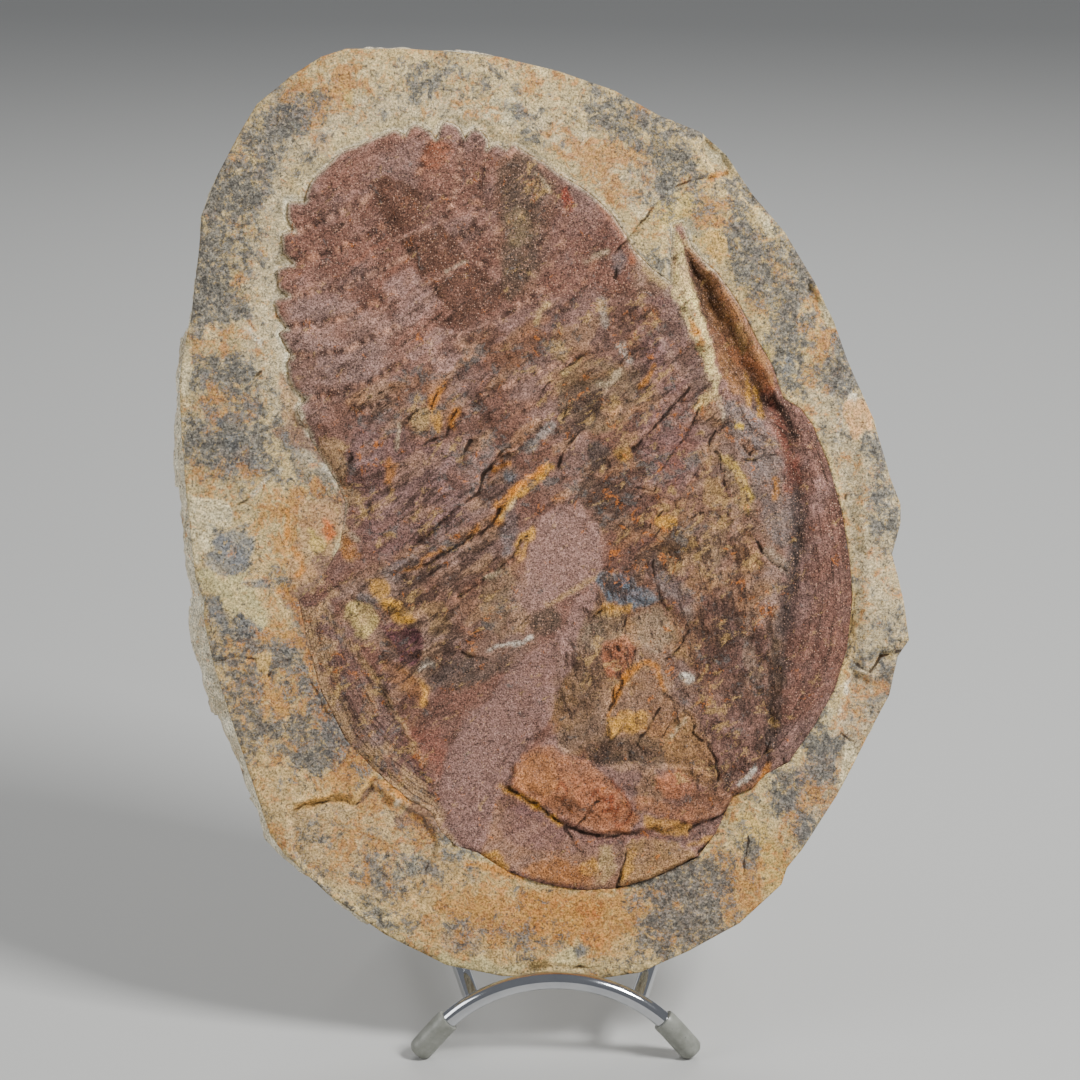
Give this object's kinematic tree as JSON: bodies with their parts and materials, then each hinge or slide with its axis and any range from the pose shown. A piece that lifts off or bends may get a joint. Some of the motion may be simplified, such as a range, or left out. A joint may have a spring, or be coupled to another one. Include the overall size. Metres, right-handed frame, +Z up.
{
  "type": "fossil trilobite on a display stand",
  "caption": "Large spiny-tailed trilobite lying diagonally in a broken slab of shale, leaning on a low stand of bent chrome rod with vinyl feet.",
  "frame": {"origin": "on the floor, at the middle of the whole object's plan", "axes": "+X to the viewer's right, +Y to the rear of the stand, +Z up; the fossil faces -Y and leans back"},
  "size_m": [0.2676, 0.1474, 0.3469],
  "materials": {
    "matrix_stone": "rough broken shale, buff with blue-grey and orange mottling",
    "fossil_plum": "granular plum-brown mineral with orange and tan stains",
    "chrome": "bright plated steel rod",
    "vinyl": "translucent grey-green vinyl, slightly glossy"
  },
  "bodies": {
    "root": {"slab": "matrix_stone", "trilobite": "fossil_plum", "front_arch": "chrome", "rear_arch": "chrome", "left_rail": "chrome", "right_rail": "chrome", "front_left_cap": "vinyl", "front_right_cap": "vinyl", "rear_left_cap": "vinyl", "rear_right_cap": "vinyl"}
  },
  "joints": []
}
